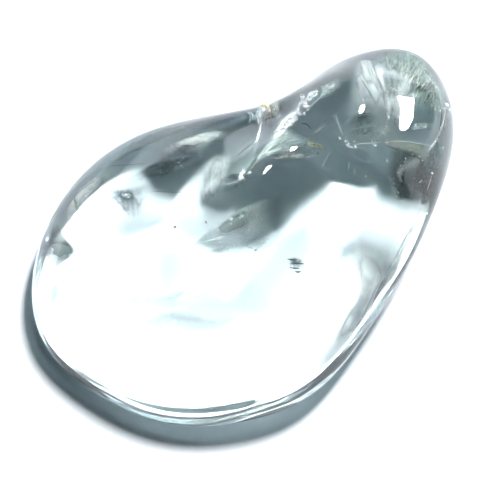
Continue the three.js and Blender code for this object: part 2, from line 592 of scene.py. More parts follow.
def crack_streaks() -> bpy.types.NodeTree:
    """Returns the group that gives a crack's feathered edges and the streaks from its mouth to its root."""
    name = "crack_streaks"
    if name in bpy.data.node_groups:
        return bpy.data.node_groups[name]
    shading, given, out = new_group(
        name, ("Along", "Inward", "Streaks", "Feather", "Mouth", "Contrast", "Seed"), ("Mask", "Streak"),
    )
    change_inward = 1.5  # how much a streak changes from the mouth to the root
    least_fringe, streaky_fringe = 0.4, 1.4  # the root's fringe as shares of the feather
    before_mouth = -0.001  # keeps the mouth whole where nothing fades it
    lane = shading.add("CombineXYZ")
    shading.feed(lane.inputs["X"], shading.math("MULTIPLY", given["Along"], given["Streaks"]))
    shading.feed(lane.inputs["Y"], shading.math("MULTIPLY", given["Inward"], change_inward))
    shading.feed(lane.inputs["Z"], given["Seed"])
    streak = shading.spread(shading.noise(lane.outputs[0], 1.0, detail=3.0), low=0.36, high=0.62)
    half = shading.math("MINIMUM", given["Along"], shading.math("SUBTRACT", 1.0, given["Along"]))
    ends = shading.spread(half, 0.0, given["Feather"])
    left = shading.math("SUBTRACT", 1.0, given["Inward"])
    ragged = shading.math("MULTIPLY", streak, streaky_fringe)
    fringe = shading.math("MULTIPLY", given["Feather"], shading.math("ADD", least_fringe, ragged))
    root = shading.spread(left, 0.0, fringe)
    mouth = shading.spread(given["Inward"], before_mouth, given["Mouth"])
    edges = shading.math("MULTIPLY", shading.math("MULTIPLY", ends, mouth), root)
    kept = shading.math("MULTIPLY", given["Contrast"], shading.math("SUBTRACT", 1.0, streak))
    shading.feed(out["Mask"], shading.math("MULTIPLY", edges, shading.math("SUBTRACT", 1.0, kept)))
    shading.feed(out["Streak"], streak)
    return shading.tree


def new_finish(name: str) -> tuple[bpy.types.Material, Shading, bpy.types.Node]:
    """Starts a material.

    Args:
        name: The finish's name.

    Returns:
        The material, its shading and its Principled shader.
    """
    made = bpy.data.materials.new(name)
    made.use_nodes = True
    return made, Shading(made.node_tree), made.node_tree.nodes["Principled BSDF"]


@dataclass(frozen=True)
class ClearStoneFinish:
    """Polished clear stone with a faint aqua tint."""

    ior: float = 1.6
    tint: Colour = (0.72, 0.95, 0.97)
    density: float = 32.0

    def material(self) -> bpy.types.Material:
        """Returns the clear stone's material."""
        made, shading, shader = new_finish("clear_stone")
        shader.inputs["Base Color"].default_value = (1, 1, 1, 1)
        shader.inputs["Roughness"].default_value = 0.0
        shader.inputs["IOR"].default_value = self.ior
        shader.inputs["Transmission Weight"].default_value = 1.0
        inside = shading.add("VolumeAbsorption")
        inside.inputs["Color"].default_value = (*self.tint, 1)
        inside.inputs["Density"].default_value = self.density
        shading.feed(made.node_tree.nodes["Material Output"].inputs["Volume"], inside.outputs["Volume"])
        return made


@dataclass(frozen=True)
class VeilFinish:
    """A crack plane or a veil inside the stone: streaked, feathered and partly see-through.

    Feather and mouth are the shares of the sheet over which it fades at its sides and root, and at its mouth.
    Dark or pale sheets also serve as painted shade and painted light.
    """

    name: str
    colours: tuple[Colour, ...]
    opacity: float = 0.6
    streaks: float = 4.0
    feather: float = 0.4
    contrast: float = 0.4
    cloud_size: float = 0.5
    roughness: float = 0.4
    relief: float = 0.0
    mouth: float = 0.0

    def material(self, seed: float) -> bpy.types.Material:
        """Returns the veil's material, with its pattern moved by a seed."""
        made, shading, shader = new_finish(self.name)
        grain = shading.group(stone_grain(), Size=self.cloud_size, Seed=seed)
        split = shading.add("SeparateXYZ")
        shading.feed(split.inputs[0], shading.add("UVMap", uv_map="UVMap").outputs["UV"])
        streaks = shading.group(
            crack_streaks(), Along=split.outputs["X"], Inward=split.outputs["Y"], Streaks=self.streaks,
            Feather=self.feather, Mouth=self.mouth, Contrast=self.contrast, Seed=seed,
        )
        cloudy = shading.math("MULTIPLY", grain.outputs["Cloud"], 0.5)
        blend = shading.math("MULTIPLY_ADD", streaks.outputs["Streak"], 0.5, cloudy)
        shading.feed(shader.inputs["Base Color"], shading.ramp(blend, self.colours))
        shading.feed(shader.inputs["Alpha"], shading.math("MULTIPLY", streaks.outputs["Mask"], self.opacity))
        shader.inputs["Roughness"].default_value = self.roughness
        bump = shading.add("Bump")
        bump.inputs["Strength"].default_value = self.relief
        bump.inputs["Distance"].default_value = BUMP_HEIGHT * MM
        shading.feed(bump.inputs["Height"], grain.outputs["Grain"])
        shading.feed(shader.inputs["Normal"], bump.outputs["Normal"])
        return made


@dataclass(frozen=True)
class GrainFinish:
    """Broken or foreign grains in and on the stone, mottled between two colours."""

    name: str
    dark: Colour
    light: Colour
    opacity: float = 1.0
    roughness: float = 0.5

    def material(self) -> bpy.types.Material:
        """Returns the grains' material."""
        made, shading, shader = new_finish(self.name)
        grain = shading.group(stone_grain(), Size=MOTTLE_SIZE, Seed=0.0)
        mottled = shading.ramp(grain.outputs["Cloud"], (self.dark, self.light))
        shading.feed(shader.inputs["Base Color"], mottled)
        shader.inputs["Roughness"].default_value = self.roughness
        shader.inputs["Alpha"].default_value = self.opacity
        return made


@dataclass(frozen=True)
class HollowFinish:
    """The wall of a small hollow in the stone, seen as a glassy bubble."""

    name: str
    ior: float = 0.625

    def material(self) -> bpy.types.Material:
        """Returns the hollow's material."""
        made, _, shader = new_finish(self.name)
        shader.inputs["Base Color"].default_value = (1, 1, 1, 1)
        shader.inputs["Roughness"].default_value = 0.0
        shader.inputs["IOR"].default_value = self.ior
        shader.inputs["Transmission Weight"].default_value = 1.0
        return made


@dataclass(frozen=True)
class Veil:
    """A thin closed sheet inside the stone, drawn through lines of spots from its mouth to its root.

    Its ripples are waves in its depth, and ragged is the share by which its root falls short here and there.
    """

    name: str
    lines: tuple[tuple[Spot, ...], ...]
    finish: VeilFinish
    seed: int = 1
    ripple: float = 0.02
    ripples: float = 2.0
    ragged: float = 0.2
    thickness: float = 0.02
    least_depth: float = 0.012
    tears: int = 12
    columns: int = 72
    rows: int = 28

    def build(self, place: Frame) -> bpy.types.Object:
        """Returns the veil's piece, placed by the stone's frame."""
        rng = np.random.default_rng(self.seed)
        inward = np.linspace(0, 1, self.rows)[:, None]
        reach = inward * (1 - self.ragged * wander(rng, self.columns, self.tears))
        spots = smooth_sheet(self.lines, self.columns, reach)
        wave = np.sin(2 * math.pi * (self.ripples * inward + wander(rng, self.columns)))
        spots[..., 2] += self.ripple * wave * np.sin(math.pi * inward)
        spots[..., 2] = np.maximum(spots[..., 2], self.least_depth)
        middle = place.below_skin(spots)
        across = np.cross(np.gradient(middle, axis=1), np.gradient(middle, axis=0))
        across /= np.maximum(np.linalg.norm(across, axis=-1, keepdims=True), TINY)
        half = across * self.thickness / 2
        points = np.vstack([(middle + half).reshape(-1, 3), (middle - half).reshape(-1, 3)])
        along = np.broadcast_to(np.linspace(0, 1, self.columns), reach.shape)
        map_one = np.stack([along, np.broadcast_to(inward, reach.shape)], axis=-1).reshape(-1, 2)
        pieces = Pieces()
        pieces.add(points, sheet_faces(self.rows, self.columns), np.vstack([map_one, map_one]))
        return pieces.make(self.name, place, self.finish.material(float(self.seed)))


def sheet_faces(rows: int, columns: int) -> Faces:
    """Returns the faces of a closed sheet: its front, its back and its rim."""
    back = rows * columns
    faces: Faces = []
    for r in range(rows - 1):
        for c in range(columns - 1):
            a, b = r * columns + c, (r + 1) * columns + c
            faces.append((a, a + 1, b + 1, b))
            faces.append((back + a, back + b, back + b + 1, back + a + 1))
    edge = list(range(columns))
    edge += [r * columns + columns - 1 for r in range(1, rows)]
    edge += [(rows - 1) * columns + c for c in range(columns - 2, -1, -1)]
    edge += [r * columns for r in range(rows - 2, 0, -1)]
    for i, a in enumerate(edge):
        b = edge[(i + 1) % len(edge)]
        faces.append((b, a, back + a, back + b))
    return faces


def splinter(place: Frame, line: np.ndarray, width: float, height: float) -> tuple[np.ndarray, Faces]:
    """A hair-thin closed splinter, pointed at both ends.

    Args:
        place: The stone's frame.
        line: Spots along its middle.
        width: Its greatest width across, in millimetres.
        height: Its greatest height, in millimetres.

    Returns:
        Its vertices in millimetres and its faces.
    """
    middle = place.below_skin(line)
    course = np.gradient(middle, axis=0)
    across = np.column_stack([-course[:, 1], course[:, 0], np.zeros(len(course))])
    across /= np.maximum(np.linalg.norm(across, axis=1, keepdims=True), TINY)
    n = len(middle) - 2
    swell = np.sin(np.linspace(0, math.pi, n + 2))[1:-1, None] ** BLUNTNESS
    inner = middle[1:-1]
    up = np.array((0.0, 0.0, height / 2))
    aside = across[1:-1] * swell * width / 2
    rings = [inner + aside, inner + up * swell, inner - aside, inner - up * swell]
    points = np.vstack([*rings, middle[:1], middle[-1:]])
    first, last = 4 * n, 4 * n + 1
    faces: Faces = []
    for side in range(4):
        a, b = side * n, (side + 1) % 4 * n
        faces.append((first, b, a))
        faces += [(a + i, b + i, b + i + 1, a + i + 1) for i in range(n - 1)]
        faces.append((last, a + n - 1, b + n - 1))
    return points, faces


@dataclass(frozen=True)
class Splinters:
    """Fine lines in or on the skin: one splinter along each line of spots."""

    name: str
    lines: tuple[tuple[Spot, ...], ...]
    finish: GrainFinish
    width: float = 0.06
    height: float = 0.03
    steps: int = 14

    def build(self, place: Frame) -> bpy.types.Object:
        """Returns the splinters as one piece."""
        pieces = Pieces()
        for line in self.lines:
            pieces.add(*splinter(place, smooth_line(line, self.steps), self.width, self.height))
        return pieces.make(self.name, place, self.finish.material())


@dataclass(frozen=True)
class Fibres:
    """A fan of fine fibres between a base line and a tip line, spread by chance from a seed."""

    name: str
    base: tuple[Spot, ...]
    tips: tuple[Spot, ...]
    finish: GrainFinish
    count: int = 40
    width: float = 0.04
    spread: float = 0.25
    seed: int = 1
    least_length: float = 0.3
    widths: tuple[float, float] = (0.5, 1.3)
    flatness: float = 0.6
    steps: int = 8

    def build(self, place: Frame) -> bpy.types.Object:
        """Returns the fibres as one piece."""
        rng = np.random.default_rng(self.seed)
        base, tips = smooth_line(self.base, self.count), smooth_line(self.tips, self.count)
        pieces = Pieces()
        for i in range(self.count):
            start = base[i] + rng.normal(0, self.spread / 3, 3)
            end = tips[i] + rng.normal(0, self.spread, 3)
            begin, stop = sorted(rng.uniform(0, 1, 2))
            stop = max(stop, begin + self.least_length)
            f = np.linspace(begin, stop, self.steps)[:, None]
            line = start + (end - start) * f
            line[:, :2] += rng.normal(0, self.spread / 2, 2) * np.sin(math.pi * f)
            line[:, 2] = np.maximum(line[:, 2], self.width)
            width = self.width * rng.uniform(*self.widths)
            pieces.add(*splinter(place, line, width, width * self.flatness))
        return pieces.make(self.name, place, self.finish.material())


LUMP_CORNERS = np.array([(1, 0, 0), (0, 1, 0), (-1, 0, 0), (0, -1, 0), (0, 0, 1), (0, 0, -1)], dtype=float)
LUMP_FACES = [(0, 1, 4), (1, 2, 4), (2, 3, 4), (3, 0, 4), (1, 0, 5), (2, 1, 5), (3, 2, 5), (0, 3, 5)]


def ball(splits: int) -> tuple[np.ndarray, Faces]:
    """Returns the vertices and faces of a closed ball of radius 1, each face split in four a few times."""
    corners = [tuple(corner) for corner in LUMP_CORNERS]
    faces: Faces = list(LUMP_FACES)
    for _ in range(splits):
        halves: dict[frozenset, int] = {}
        finer: Faces = []
        for a, b, c in faces:
            ring = []
            for one, two in ((a, b), (b, c), (c, a)):
                edge = frozenset((one, two))
                if edge not in halves:
                    middle = np.array(corners[one]) + np.array(corners[two])
                    corners.append(tuple(middle / np.linalg.norm(middle)))
                    halves[edge] = len(corners) - 1
                ring.append(halves[edge])
            ab, bc, ca = ring
            finer += [(a, ab, ca), (ab, b, bc), (ca, bc, c), (ab, bc, ca)]
        faces = finer
    return np.array(corners), faces


def lump(
    rng: np.random.Generator, radius: float, flatness: float, splits: int = 1,
) -> tuple[np.ndarray, Faces]:
    """A closed irregular crumb or bubble round the origin.

    Args:
        rng: The source of its irregularity.
        radius: Its mean radius, in millimetres.
        flatness: Its height as a share of its width.
        splits: How finely it is made: 1 for an angular crumb, 3 for a smooth bubble.

    Returns:
        Its vertices and faces.
    """
    points, faces = ball(splits)
    if splits == 1:
        nearest, farthest = 0.7, 1.25
        points *= rng.uniform(nearest, farthest, (len(points), 1))
    else:
        swell, frequency, count = 0.09, 1.6, 4
        waves = rng.normal(0, frequency, (3, count))
        points *= 1 + swell * np.sin(points @ waves + rng.uniform(0, 6, count)).sum(axis=1, keepdims=True)
    points *= radius
    points[:, 2] *= flatness
    turn = rng.uniform(0, 2 * math.pi)
    narrowest, longest = 0.7, 1.4
    stretch = rng.uniform(narrowest, longest)
    x, y = points[:, 0] * stretch, points[:, 1] / stretch
    points[:, 0] = x * math.cos(turn) - y * math.sin(turn)
    points[:, 1] = x * math.sin(turn) + y * math.cos(turn)
    return points, faces


@dataclass(frozen=True)
class Crumbs:
    """Small crumbs or hollows strewn along a line, spread by chance from a seed."""

    name: str
    line: tuple[Spot, ...]
    finish: GrainFinish | HollowFinish
    count: int = 20
    radius: float = 0.09
    spread: float = 0.08
    flatness: float = 0.5
    seed: int = 1
    splits: int = 1
    sizes: tuple[float, float] = (0.4, 1.3)

    def build(self, place: Frame) -> bpy.types.Object:
        """Returns the crumbs as one piece."""
        rng = np.random.default_rng(self.seed)
        sunk = 0.6 if self.splits == 1 else 1.6  # a crumb shows at the skin and a bubble lies under it
        pieces = Pieces()
        for spot in smooth_line(self.line, self.count):
            spot[:2] += rng.normal(0, self.spread, 2)
            radius = self.radius * rng.uniform(*self.sizes)
            points, faces = lump(rng, radius, self.flatness, self.splits)
            spot[2] = max(spot[2], sunk * radius * self.flatness)
            pieces.add(points + place.below_skin(spot), faces)
        return pieces.make(self.name, place, self.finish.material(), smooth=self.splits > 1)


@dataclass(frozen=True)
class Specks:
    """Single grains at given spots, each with its own radius."""

    name: str
    spots: tuple[tuple[Spot, float], ...]
    finish: GrainFinish
    flatness: float = 0.6
    seed: int = 1

    def build(self, place: Frame) -> bpy.types.Object:
        """Returns the specks as one piece."""
        rng = np.random.default_rng(self.seed)
        pieces = Pieces()
        for spot, radius in self.spots:
            points, faces = lump(rng, radius, self.flatness)
            pieces.add(points + place.below_skin(np.array(spot)), faces)
        return pieces.make(self.name, place, self.finish.material(), smooth=False)


FROSTED = VeilFinish(
    "frosted_veil", ((0.5, 0.62, 0.62), (0.72, 0.82, 0.8), (0.9, 0.96, 0.93)), opacity=0.5, streaks=16.0,
    contrast=0.45, relief=0.12,
)
SNOWY = VeilFinish(
    "snowy_veil", ((0.74, 0.84, 0.83), (0.95, 0.98, 0.97)), streaks=12.0, feather=0.35, relief=0.15,
)
BEIGE = VeilFinish(
    "beige_veil", ((0.4, 0.39, 0.37), (0.62, 0.59, 0.56), (0.82, 0.81, 0.78)), opacity=0.5, streaks=6.0,
    contrast=0.5, cloud_size=0.35, relief=0.15,
)
SMOKY = VeilFinish(
    "smoky_veil", ((0.05, 0.07, 0.08), (0.14, 0.19, 0.2)), opacity=0.55, streaks=5.0, feather=0.5,
    contrast=0.45, cloud_size=1.2, roughness=0.5, mouth=0.3,
)
# painted shade: soft dark clouds where the stone throws shade on the floor beneath it
SOFT_SHADE = VeilFinish(
    "soft_shade_veil", ((0.13, 0.17, 0.18), (0.28, 0.33, 0.35)), feather=0.45, contrast=0.45, cloud_size=0.9,
    roughness=0.6, mouth=0.25,
)
POOL = VeilFinish(
    "pool_veil", ((0.34, 0.55, 0.55), (0.48, 0.68, 0.67)), opacity=0.34, streaks=2.0, feather=0.45,
    contrast=0.2, cloud_size=1.6, roughness=0.6, mouth=0.45,
)
# painted light: a bright cloud that lightens the knob
LIGHT_HAZE = VeilFinish(
    "painted_light_haze", ((0.62, 0.72, 0.76), (0.84, 0.9, 0.93), (0.97, 0.99, 1.0)), opacity=0.85, contrast=0.5,
    cloud_size=1.4, roughness=0.5, mouth=0.4,
)
# painted shade: dark, even sheets laid where the clear stone only throws shade through refraction
PAINTED_SHADE = VeilFinish(
    "painted_shade_veil", ((0.15, 0.19, 0.19), (0.22, 0.26, 0.26)), opacity=0.62, streaks=1.0, feather=0.45,
    contrast=0.0, cloud_size=1.4, roughness=0.8, mouth=0.15,
)
# painted shade: a dark teal band inside the front rim, which also deepens the floor's shadow beside it
RIM_SHADE = VeilFinish(
    "rim_shade_veil", ((0.08, 0.18, 0.22), (0.15, 0.27, 0.31)), opacity=0.8, streaks=6.0, feather=0.2,
    contrast=0.2, cloud_size=1.0, roughness=0.5, mouth=0.3,
)
# painted shade: a dark green-grey patch on the right rim
WEDGE_SHADE = VeilFinish(
    "painted_shade_wedge", ((0.16, 0.21, 0.18), (0.32, 0.38, 0.34)), streaks=5.0, feather=0.3, cloud_size=0.6,
    roughness=0.5, mouth=0.3,
)
# painted light: pale sheets that lighten places the stone's refraction leaves dark
PAINTED_LIGHT = VeilFinish(
    "painted_light_veil", ((0.9, 0.94, 0.95), (0.97, 0.99, 1.0)), opacity=0.62, contrast=0.5, cloud_size=1.2,
    roughness=0.5, mouth=0.3,
)
GRAIN_DARK = VeilFinish(
    "grain_veil", ((0.06, 0.09, 0.09), (0.2, 0.26, 0.26)), opacity=0.5, streaks=5.0, contrast=0.7,
    cloud_size=0.3, mouth=0.3,
)
# painted light and shade along the rims: lighter on the knob's rim, greyer on the right rim
EDGE_LIGHT_AND_SHADE = VeilFinish(
    "painted_edge_light_and_shade", ((0.34, 0.38, 0.35), (0.6, 0.64, 0.6), (0.82, 0.86, 0.82)), opacity=0.55, streaks=14.0,
    feather=0.3, contrast=0.5, cloud_size=0.6, mouth=0.3,
)
FAINT = VeilFinish(
    "faint_veil", ((0.3, 0.4, 0.42), (0.6, 0.7, 0.72)), opacity=0.22, streaks=7.0, feather=0.45,
    contrast=0.8, cloud_size=0.7, roughness=0.6, mouth=0.4,
)
EDGE_SHADE = VeilFinish(
    "edge_shade", ((0.09, 0.12, 0.16), (0.2, 0.25, 0.3)), opacity=0.45, streaks=2.0, feather=0.35,
    contrast=0.35, cloud_size=1.2, roughness=0.5, mouth=0.3,
)
BANDED = VeilFinish(
    "banded_veil", ((0.4, 0.48, 0.5), (0.74, 0.82, 0.83)), opacity=0.35, streaks=5.0, feather=0.3,
    contrast=0.6, cloud_size=0.8, mouth=0.3,
)
WEDGE = VeilFinish(
    "wedge_veil", ((0.52, 0.46, 0.42), (0.7, 0.72, 0.66), (0.56, 0.66, 0.62), (0.4, 0.47, 0.46)),
    opacity=0.8, streaks=3.0, feather=0.1, contrast=0.15, cloud_size=0.7, roughness=0.35, relief=0.1,
)
MOSSY = VeilFinish(
    "mossy_veil", ((0.1, 0.18, 0.16), (0.34, 0.48, 0.43), (0.66, 0.8, 0.74)), streaks=26.0, feather=0.35,
    contrast=0.6, cloud_size=0.4, relief=0.15,
)
TEAL = VeilFinish(
    "teal_facet", ((0.06, 0.2, 0.21), (0.22, 0.42, 0.42)), opacity=0.85, feather=0.12, contrast=0.25,
    cloud_size=0.3, roughness=0.3, relief=0.1,
)
RUSTY = VeilFinish(
    "rusty_veil", ((0.1, 0.09, 0.085), (0.26, 0.23, 0.2)), opacity=0.75, feather=0.25, relief=0.1,
)
YELLOW = VeilFinish(
    "yellow_veil", ((0.45, 0.42, 0.24), (0.84, 0.82, 0.6)), opacity=0.7, streaks=8.0, feather=0.2,
    cloud_size=0.2, roughness=0.35, relief=0.3,
)
BROKEN = GrainFinish("broken_white", (0.58, 0.64, 0.61), (0.92, 0.95, 0.92))
BRIGHT = GrainFinish("bright_line", (0.8, 0.86, 0.84), (0.95, 0.97, 0.96), opacity=0.9, roughness=0.3)
PALE_FIBRE = GrainFinish("pale_fibre", (0.55, 0.68, 0.6), (0.9, 0.97, 0.93), opacity=0.75)
DARK_FIBRE = GrainFinish("dark_fibre", (0.04, 0.07, 0.06), (0.14, 0.18, 0.15), opacity=0.85)
DARK_GRAIN = GrainFinish("dark_grain", (0.02, 0.025, 0.025), (0.08, 0.09, 0.09))
GREEN_GRAIN = GrainFinish("green_grain", (0.07, 0.09, 0.05), (0.24, 0.26, 0.16))
STAIN = GrainFinish("olive_stain", (0.14, 0.13, 0.06), (0.4, 0.36, 0.22))
HOLLOW = HollowFinish("hollow_wall")

Part = Veil | Splinters | Fibres | Crumbs | Specks


@dataclass(frozen=True)
class NotchCrack:
    """The crack that comes out at the notch in the far edge: its veils, its hollows and its crumbs."""

    parts: tuple[Part, ...] = (
        Veil("notch_veil", (
            ((0.31, 2.3, 0.1), (0.01, 2.14, 0.12), (-0.33, 2.03, 0.15)),
            ((1.76, 2.96, 0.05), (1.63, 2.52, 0.3), (1.31, 2.21, 0.6)),
            ((3.4, 3.25, 0.05), (3.03, 2.42, 0.35), (2.56, 1.8, 0.8)),
            ((4.58, 3.08, 0.05), (4.84, 1.97, 0.35), (5.11, 1.12, 0.7)),
        ), FROSTED, seed=3, ragged=0.1),
        Veil("notch_glow", (
            ((1.31, 2.68, 0.04), (1.25, 2.38, 0.15)),
            ((2.64, 3.24, 0.04), (2.44, 2.54, 0.2)),
            ((4.6, 3.11, 0.04), (4.57, 2.42, 0.2)),
        ), SNOWY, seed=4, ragged=0.1),
        Veil("notch_hem", (
            ((1.64, 2.51, 0.5), (2.93, 1.97, 0.6), (4.54, 1.34, 0.7)),
            ((1.47, 2.25, 0.7), (2.68, 1.69, 0.8), (4.54, 1.13, 0.8)),
        ), BEIGE, seed=5),
        Veil("notch_yellow", (
            level(0.2, (4.21, 2.11), (4.68, 1.57), (5.11, 0.99)),
            level(0.4, (4.19, 1.78), (4.59, 1.32), (4.95, 0.94)),
        ), YELLOW, seed=6),
        Veil("notch_frost", (
            level(0.05, (3.28, 5.76), (3.88, 5.39), (4.6, 5.23)),
            level(0.3, (2.69, 5.36), (3.34, 4.73), (4.3, 4.38)),
            level(0.6, (2.09, 4.8), (2.7, 4.03), (3.57, 3.5)),
        ), BEIGE, seed=7, ripple=0.05, ripples=3.0, ragged=0.3),
        Veil("notch_blob", (
            level(0.03, (4.35, 5.69), (4.79, 5.41)),
            level(0.2, (3.8, 5.05), (4.37, 4.64)),
            level(0.3, (3.37, 4.49), (3.82, 4.09)),
        ), SNOWY, seed=8, ragged=0.3),
        Veil("notch_band", (
            ((4.49, 2.32, 0.15), (4.61, 1.97, 0.25)),
            ((5.53, 2.33, 0.15), (5.62, 1.84, 0.25)),
            ((6.67, 2.32, 0.15), (6.81, 1.72, 0.25)),
        ), BANDED, seed=9),
        Veil("notch_flare", (
            ((6.87, 4.62, 0.05), (6.74, 4.01, 0.15), (6.16, 3.53, 0.2)),
            ((7.42, 4.43, 0.05), (7.31, 3.83, 0.2), (6.77, 3.2, 0.3)),
            ((8.01, 4.28, 0.05), (7.97, 3.62, 0.2), (7.49, 3.08, 0.3)),
        ), FROSTED, seed=10, ripple=0.03, ragged=0.3),
        Crumbs(
            "notch_hollows",
            level(0.1, (6.32, 4.19), (5.86, 4.22), (5.08, 3.59), (4.5, 3.64), (3.87, 3.51), (3.37, 3.39)),
            HOLLOW, count=26, radius=0.19, spread=0.13, flatness=0.6, seed=2, splits=3,
        ),
        Crumbs(
            "notch_crumbs",
            level(0, (6.57, 4.22), (5.95, 4.2), (5.1, 3.66), (4.49, 3.66), (3.77, 3.51)),
            BROKEN, count=30, radius=0.07, spread=0.14, flatness=0.4, seed=12,
        ),
        Crumbs(
            "notch_tip",
            level(0, (0.3, 2.29), (-0.06, 2.17), (-0.32, 2.07)),
            BROKEN, count=16, radius=0.08, spread=0.08, flatness=0.4, seed=3,
        ),
        Splinters("notch_lines", (
            level(0.01, (7.2, 3.84), (6.2, 3.66), (5.26, 3.49), (4.76, 3.35)),
            level(0.02, (4.54, 3.12), (4.82, 3.03), (4.92, 2.37)),
            level(0.02, (4.51, 2.98), (4.69, 2.74), (4.79, 2.18)),
            level(0.02, (1.73, 2.62), (2.26, 2.49), (2.87, 2.38)),
            level(0.1, (4.06, 2.71), (4.52, 1.86), (5.02, 0.98)),
            level(0.3, (3.72, 1.33), (4.06, 1.19), (4.39, 1.05)),
            level(0.02, (0.36, 3.63), (1.15, 3.79), (1.98, 3.91)),
        ), BRIGHT, width=0.035),
        Splinters("notch_dark_lines", (
            level(0.05, (4.55, 3.03), (4.78, 2.86), (4.86, 2.28)),
            level(0.1, (0.37, 3.41), (1.16, 3.57), (2.04, 3.64)),
            level(0.05, (0.17, 2.09), (0.79, 2.32), (1.4, 2.61)),
        ), DARK_FIBRE, width=0.07),
        Specks("notch_stain", (
            ((4.29, 6.42, 0.0), 0.16), ((3.92, 5.48, 0.0), 0.13), ((4.17, 5.43, 0.0), 0.1),
        ), STAIN),
        Specks("notch_specks", (((4.08, 1.83, 0.1), 0.06), ((4.45, 1.05, 0.1), 0.07)), DARK_GRAIN),
    )


